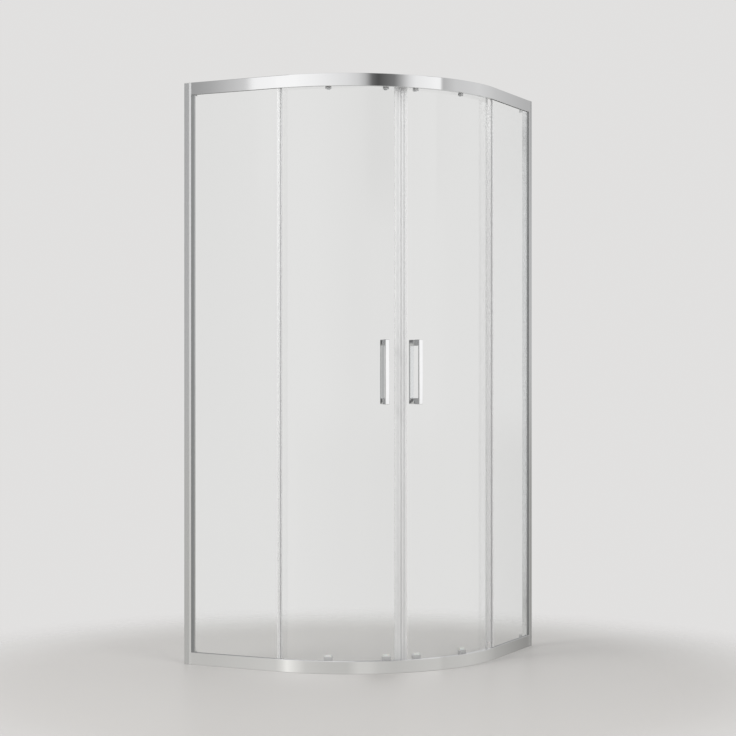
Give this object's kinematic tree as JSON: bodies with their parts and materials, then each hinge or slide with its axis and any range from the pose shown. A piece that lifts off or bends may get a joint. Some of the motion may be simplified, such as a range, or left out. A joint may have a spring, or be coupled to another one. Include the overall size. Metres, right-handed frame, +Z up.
{
  "type": "quadrant shower enclosure",
  "caption": "Corner shower enclosure with a quarter-round front: flat fixed panes, curved sliding doors on rollers, upper and lower bent rails, and pull handles.",
  "frame": {"origin": "on the floor, at the middle of the square footprint; the room corner that the enclosure closes is at x -0.45, y +0.45", "axes": "+Z up; the left wall is the plane x = -0.45 and the back wall the plane y = +0.45; the curved front bulges towards +X and -Y"},
  "size_m": [0.9, 0.9, 1.95],
  "materials": {
    "polished_aluminium": "bright polished anodised",
    "clear_glass": "clear toughened",
    "clear_seal": "translucent soft vinyl",
    "grey_gasket": "matt",
    "chrome": "polished",
    "zinc_casting": "satin plated",
    "grey_plastic": "satin",
    "white_nylon": "matt",
    "black_rubber": "matt",
    "stainless_screw": "bright"
  },
  "bodies": {
    "frame": {"top_rail": "polished_aluminium", "bottom_rail": "polished_aluminium", "top_rail_filler": "polished_aluminium", "bottom_rail_filler": "polished_aluminium", "end_caps": "grey_plastic", "profile_screws": "stainless_screw", "rail_screws": "stainless_screw", "glazing_gaskets": "grey_gasket", "door_stops": "black_rubber", "left_wall_channel": "polished_aluminium", "left_side_profile": "polished_aluminium", "left_fixed_glass": "clear_glass", "left_fixed_edge_seal": "clear_seal", "right_wall_channel": "polished_aluminium", "right_side_profile": "polished_aluminium", "right_fixed_glass": "clear_glass", "right_fixed_edge_seal": "clear_seal"},
    "left_door": {"left_door_glass": "clear_glass", "left_magnetic_seal": "clear_seal", "left_rear_seal": "clear_seal", "left_outer_handle": "chrome", "left_inner_handle": "chrome", "left_handle_fixings": "stainless_screw", "left_roller_bolts": "chrome", "left_rear_carriage": "zinc_casting", "left_rear_release_case": "grey_plastic", "left_rear_release_spring": "stainless_screw", "left_front_carriage": "zinc_casting", "left_front_release_case": "grey_plastic", "left_front_release_spring": "stainless_screw"},
    "left_rear_wheel_1": {"left_rear_wheel_1": "white_nylon"},
    "left_rear_wheel_2": {"left_rear_wheel_2": "white_nylon"},
    "left_rear_release_slider": {"left_rear_release_slider": "grey_plastic"},
    "left_rear_guide_wheel": {"left_rear_guide_wheel": "white_nylon"},
    "left_front_wheel_1": {"left_front_wheel_1": "white_nylon"},
    "left_front_wheel_2": {"left_front_wheel_2": "white_nylon"},
    "left_front_release_slider": {"left_front_release_slider": "grey_plastic"},
    "left_front_guide_wheel": {"left_front_guide_wheel": "white_nylon"},
    "right_door": {"right_door_glass": "clear_glass", "right_magnetic_seal": "clear_seal", "right_rear_seal": "clear_seal", "right_outer_handle": "chrome", "right_inner_handle": "chrome", "right_handle_fixings": "stainless_screw", "right_roller_bolts": "chrome", "right_rear_carriage": "zinc_casting", "right_rear_release_case": "grey_plastic", "right_rear_release_spring": "stainless_screw", "right_front_carriage": "zinc_casting", "right_front_release_case": "grey_plastic", "right_front_release_spring": "stainless_screw"},
    "right_rear_wheel_1": {"right_rear_wheel_1": "white_nylon"},
    "right_rear_wheel_2": {"right_rear_wheel_2": "white_nylon"},
    "right_rear_release_slider": {"right_rear_release_slider": "grey_plastic"},
    "right_rear_guide_wheel": {"right_rear_guide_wheel": "white_nylon"},
    "right_front_wheel_1": {"right_front_wheel_1": "white_nylon"},
    "right_front_wheel_2": {"right_front_wheel_2": "white_nylon"},
    "right_front_release_slider": {"right_front_release_slider": "grey_plastic"},
    "right_front_guide_wheel": {"right_front_guide_wheel": "white_nylon"}
  },
  "joints": [
    {"name": "left_door_travel", "type": "hinge", "parent": "frame", "child": "left_door", "pos_m": [-0.1, 0.1, 0.975], "axis": [0, 0, -1], "range_deg": [0, 25]},
    {"name": "left_rear_wheel_1_spin", "type": "hinge", "parent": "left_door", "child": "left_rear_wheel_1", "pos_m": [0.0805, -0.40165, 1.9272], "axis": [0.3173, -0.9483, 0], "continuous": true},
    {"name": "left_rear_wheel_2_spin", "type": "hinge", "parent": "left_door", "child": "left_rear_wheel_2", "pos_m": [0.05774, -0.40926, 1.9272], "axis": [0.3173, -0.9483, 0], "continuous": true},
    {"name": "left_rear_release_push", "type": "slide", "parent": "left_door", "child": "left_rear_release_slider", "axis": [0, 0, -1], "range_m": [0, 0.0055], "stiffness_N_per_m": 600, "springref_m": -0.006, "deforming": ["left_rear_release_spring"]},
    {"name": "left_rear_guide_wheel_spin", "type": "hinge", "parent": "left_rear_release_slider", "child": "left_rear_guide_wheel", "pos_m": [0.06865, -0.40403, 0.0217], "axis": [0.3173, -0.9483, 0], "continuous": true},
    {"name": "left_front_wheel_1_spin", "type": "hinge", "parent": "left_door", "child": "left_front_wheel_1", "pos_m": [0.24688, -0.30486, 1.9272], "axis": [0.6334, -0.7738, 0], "continuous": true},
    {"name": "left_front_wheel_2_spin", "type": "hinge", "parent": "left_door", "child": "left_front_wheel_2", "pos_m": [0.22831, -0.32006, 1.9272], "axis": [0.6334, -0.7738, 0], "continuous": true},
    {"name": "left_front_release_push", "type": "slide", "parent": "left_door", "child": "left_front_release_slider", "axis": [0, 0, -1], "range_m": [0, 0.0055], "stiffness_N_per_m": 600, "springref_m": -0.006, "deforming": ["left_front_release_spring"]},
    {"name": "left_front_guide_wheel_spin", "type": "hinge", "parent": "left_front_release_slider", "child": "left_front_guide_wheel", "pos_m": [0.23664, -0.3113, 0.0217], "axis": [0.6334, -0.7738, 0], "continuous": true},
    {"name": "right_door_travel", "type": "hinge", "parent": "frame", "child": "right_door", "pos_m": [-0.1, 0.1, 0.975], "axis": [0, 0, 1], "range_deg": [0, 25]},
    {"name": "right_rear_wheel_1_spin", "type": "hinge", "parent": "right_door", "child": "right_rear_wheel_1", "pos_m": [0.40926, -0.05774, 1.9272], "axis": [0.9483, -0.3173, 0], "continuous": true},
    {"name": "right_rear_wheel_2_spin", "type": "hinge", "parent": "right_door", "child": "right_rear_wheel_2", "pos_m": [0.40165, -0.0805, 1.9272], "axis": [0.9483, -0.3173, 0], "continuous": true},
    {"name": "right_rear_release_push", "type": "slide", "parent": "right_door", "child": "right_rear_release_slider", "axis": [0, 0, -1], "range_m": [0, 0.0055], "stiffness_N_per_m": 600, "springref_m": -0.006, "deforming": ["right_rear_release_spring"]},
    {"name": "right_rear_guide_wheel_spin", "type": "hinge", "parent": "right_rear_release_slider", "child": "right_rear_guide_wheel", "pos_m": [0.40403, -0.06865, 0.0217], "axis": [0.9483, -0.3173, 0], "continuous": true},
    {"name": "right_front_wheel_1_spin", "type": "hinge", "parent": "right_door", "child": "right_front_wheel_1", "pos_m": [0.32006, -0.22831, 1.9272], "axis": [0.7738, -0.6334, 0], "continuous": true},
    {"name": "right_front_wheel_2_spin", "type": "hinge", "parent": "right_door", "child": "right_front_wheel_2", "pos_m": [0.30486, -0.24688, 1.9272], "axis": [0.7738, -0.6334, 0], "continuous": true},
    {"name": "right_front_release_push", "type": "slide", "parent": "right_door", "child": "right_front_release_slider", "axis": [0, 0, -1], "range_m": [0, 0.0055], "stiffness_N_per_m": 600, "springref_m": -0.006, "deforming": ["right_front_release_spring"]},
    {"name": "right_front_guide_wheel_spin", "type": "hinge", "parent": "right_front_release_slider", "child": "right_front_guide_wheel", "pos_m": [0.3113, -0.23664, 0.0217], "axis": [0.7738, -0.6334, 0], "continuous": true}
  ],
  "couplings": [
    {"joint": "left_rear_wheel_1_spin", "follows": "left_door_travel", "ratio": 48.455},
    {"joint": "left_rear_wheel_2_spin", "follows": "left_door_travel", "ratio": 48.455},
    {"joint": "left_rear_guide_wheel_spin", "follows": "left_door_travel", "ratio": -66.438},
    {"joint": "left_front_wheel_1_spin", "follows": "left_door_travel", "ratio": 48.455},
    {"joint": "left_front_wheel_2_spin", "follows": "left_door_travel", "ratio": 48.455},
    {"joint": "left_front_guide_wheel_spin", "follows": "left_door_travel", "ratio": -66.438},
    {"joint": "right_rear_wheel_1_spin", "follows": "right_door_travel", "ratio": -48.455},
    {"joint": "right_rear_wheel_2_spin", "follows": "right_door_travel", "ratio": -48.455},
    {"joint": "right_rear_guide_wheel_spin", "follows": "right_door_travel", "ratio": 66.438},
    {"joint": "right_front_wheel_1_spin", "follows": "right_door_travel", "ratio": -48.455},
    {"joint": "right_front_wheel_2_spin", "follows": "right_door_travel", "ratio": -48.455},
    {"joint": "right_front_guide_wheel_spin", "follows": "right_door_travel", "ratio": 66.438}
  ]
}
